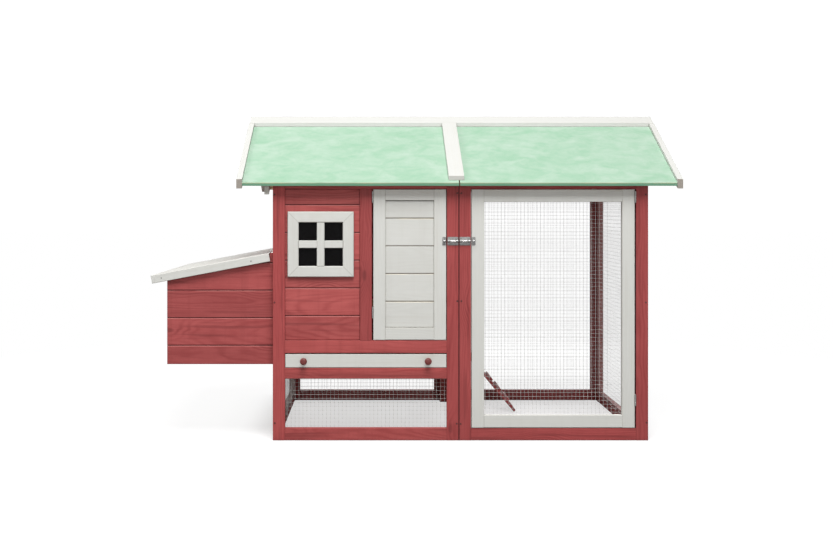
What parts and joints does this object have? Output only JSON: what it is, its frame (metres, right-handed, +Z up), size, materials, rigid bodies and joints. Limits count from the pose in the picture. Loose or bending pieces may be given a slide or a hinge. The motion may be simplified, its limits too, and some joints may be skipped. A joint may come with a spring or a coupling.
{
  "type": "chicken coop",
  "caption": "Timber hen house on a pitched felt roof with a wire run, side nest box with lid, two doors, pull-out tray and ramp.",
  "frame": {"origin": "on the ground, under the middle of the whole coop's length and depth", "axes": "+X along the coop from the nest box to the run, +Y from the doors to the back, +Z up"},
  "size_m": [1.7044, 0.81, 1.07],
  "materials": {
    "red_paint": "satin paint",
    "white_paint": "satin paint",
    "bare_wood": "planed",
    "roof_felt": "mineral felt",
    "galvanised_wire": "hot-dip galvanised",
    "zinc_steel": "zinc plated",
    "clear_sheet": "clear acrylic",
    "knob_paint": "satin paint"
  },
  "bodies": {
    "coop": {"back_boards": "red_paint", "back_posts": "red_paint", "back_rails": "red_paint", "bolt_cases": "zinc_steel", "cover_strips": "white_paint", "fixed_hinge_leaves": "zinc_steel", "gable_boards": "red_paint", "hinge_pins": "zinc_steel", "house_front_boards": "red_paint", "house_front_posts": "red_paint", "house_front_rails": "red_paint", "house_roof_boards": "bare_wood", "left_side_boards": "red_paint", "left_side_frame": "red_paint", "nest_battens": "red_paint", "nest_divider": "bare_wood", "nest_end_boards": "red_paint", "nest_floor": "bare_wood", "nest_side_boards": "red_paint", "partition_boards": "red_paint", "partition_frame": "red_paint", "perch": "bare_wood", "perch_brackets": "bare_wood", "rafters": "white_paint", "ridge_boards": "white_paint", "right_side_frame": "red_paint", "roof_felt": "roof_felt", "run_back_mesh": "galvanised_wire", "run_front_frame": "red_paint", "run_joining_battens": "red_paint", "run_roof_boards": "bare_wood", "run_side_mesh": "galvanised_wire", "tray_runners": "bare_wood", "under_back_mesh": "galvanised_wire", "under_front_mesh": "galvanised_wire", "under_left_mesh": "galvanised_wire", "verge_trims": "white_paint", "window_bars": "white_paint", "window_frame": "white_paint", "window_pane": "clear_sheet"},
    "house_door": {"house_door_frame": "white_paint", "house_door_boards": "white_paint", "house_door_leaves": "zinc_steel", "house_door_keeper": "zinc_steel"},
    "run_door": {"run_door_frame": "white_paint", "run_door_mesh": "galvanised_wire", "run_door_leaves": "zinc_steel", "run_door_keeper": "zinc_steel"},
    "nest_lid": {"lid_boards": "white_paint", "lid_trims": "white_paint", "lid_leaves": "zinc_steel"},
    "tray": {"tray_front": "white_paint", "tray_box": "bare_wood", "tray_knobs": "knob_paint"},
    "ramp": {"ramp_plank": "red_paint", "ramp_cleats": "red_paint", "ramp_leaves": "zinc_steel"},
    "house_latch": {"house_bolt": "zinc_steel"},
    "run_latch": {"run_bolt": "zinc_steel"}
  },
  "joints": [
    {"name": "house_door_hinge", "type": "hinge", "parent": "coop", "child": "house_door", "pos_m": [-0.13658, -0.37625, 0.56], "axis": [0, 0, -1], "range_deg": [0, 150]},
    {"name": "run_door_hinge", "type": "hinge", "parent": "coop", "child": "run_door", "pos_m": [0.70742, -0.37625, 0.424], "axis": [0, 0, 1], "range_deg": [0, 165]},
    {"name": "nest_lid_hinge", "type": "hinge", "parent": "coop", "child": "nest_lid", "pos_m": [-0.47133, 0, 0.6025], "axis": [0, 1, 0], "range_deg": [0, 70]},
    {"name": "tray_slide", "type": "slide", "parent": "coop", "child": "tray", "axis": [0, -1, 0], "range_m": [0, 0.56]},
    {"name": "ramp_hinge", "type": "hinge", "parent": "coop", "child": "ramp", "pos_m": [0.14292, 0.181, 0.3], "axis": [0, -1, 0], "range_deg": [0, 136]},
    {"name": "house_bolt_slide", "type": "slide", "parent": "coop", "child": "house_latch", "axis": [-1, 0, 0], "range_m": [0, 0.014]},
    {"name": "run_bolt_slide", "type": "slide", "parent": "coop", "child": "run_latch", "axis": [1, 0, 0], "range_m": [0, 0.014]}
  ]
}
